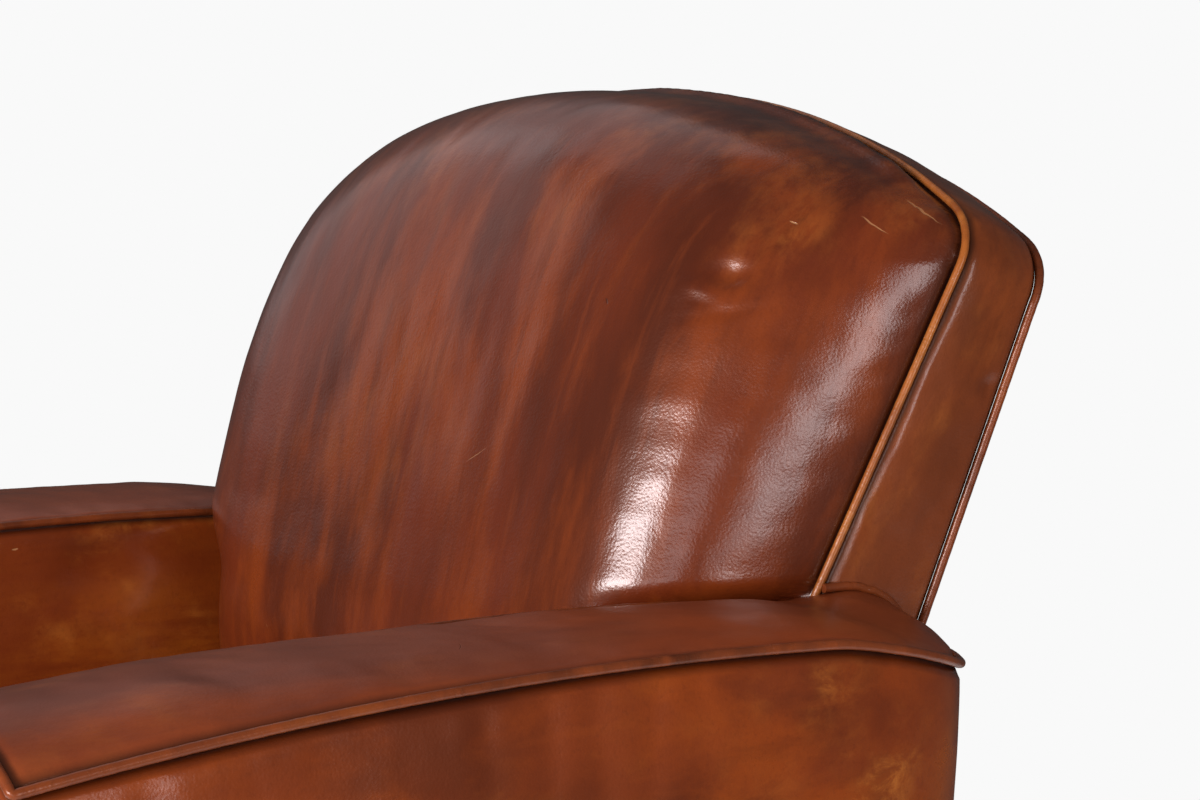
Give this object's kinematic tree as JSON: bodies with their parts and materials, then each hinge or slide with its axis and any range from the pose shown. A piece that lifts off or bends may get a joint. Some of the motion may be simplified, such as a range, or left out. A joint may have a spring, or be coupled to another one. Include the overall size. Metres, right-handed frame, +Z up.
{
  "type": "club chair",
  "caption": "Worn leather club chair with a leaning domed back, rounded arms with piped edges and a loose seat cushion; fixed, no moving parts.",
  "frame": {"origin": "middle of the footprint at floor level", "axes": "+X towards the sitter's left arm, -Y towards the front, +Z up"},
  "size_m": [0.8198, 0.7551, 0.8586],
  "materials": {
    "back_leather": "waxed, glossy, streaked and rubbed",
    "arm_leather": "waxed satin, creased and rubbed",
    "piping_leather": "waxed, worn pale on the ridge",
    "beech": "sawn, unfinished",
    "foot_wood": "dark stain, satin",
    "wool": "felted wool wadding",
    "feather": "down-proof cotton over feather",
    "jute": "woven jute",
    "deck_cloth": "brown cotton over wadding",
    "black_cloth": "thin black cotton",
    "spring_steel": "coppered steel wire, dull"
  },
  "bodies": {
    "root": {"back_boxing_leather": "back_leather", "back_front_piping": "piping_leather", "back_padding": "wool", "back_rear_piping": "piping_leather", "back_webbing": "jute", "cushion_bottom_panel": "back_leather", "cushion_bottom_piping": "piping_leather", "cushion_boxing": "back_leather", "cushion_filling": "feather", "cushion_top_panel": "back_leather", "cushion_top_piping": "piping_leather", "dust_cover": "black_cloth", "front_border_leather": "back_leather", "front_seat_rail": "beech", "inside_back_leather": "back_leather", "left_arm_front_leather": "arm_leather", "left_arm_piping": "piping_leather", "left_arm_rail": "beech", "left_arm_top_leather": "arm_leather", "left_arm_top_padding": "wool", "left_front_foot": "foot_wood", "left_front_post": "beech", "left_inside_arm_leather": "arm_leather", "left_inside_arm_padding": "wool", "left_outside_arm_leather": "arm_leather", "left_outside_arm_padding": "wool", "left_rear_foot": "foot_wood", "left_seat_rail": "beech", "left_upright": "beech", "middle_back_rail": "beech", "outside_back_leather": "back_leather", "outside_back_lining": "wool", "rear_seat_rail": "beech", "right_arm_front_leather": "arm_leather", "right_arm_piping": "piping_leather", "right_arm_rail": "beech", "right_arm_top_leather": "arm_leather", "right_arm_top_padding": "wool", "right_front_foot": "foot_wood", "right_front_post": "beech", "right_inside_arm_leather": "arm_leather", "right_inside_arm_padding": "wool", "right_outside_arm_leather": "arm_leather", "right_outside_arm_padding": "wool", "right_rear_foot": "foot_wood", "right_seat_rail": "beech", "right_upright": "beech", "seat_deck": "deck_cloth", "seat_spring_1": "spring_steel", "seat_spring_2": "spring_steel", "seat_spring_3": "spring_steel", "seat_spring_4": "spring_steel", "seat_spring_5": "spring_steel", "seat_spring_6": "spring_steel", "seat_spring_7": "spring_steel", "seat_spring_8": "spring_steel", "seat_spring_9": "spring_steel", "seat_webbing": "jute", "top_back_rail": "beech"}
  },
  "joints": []
}
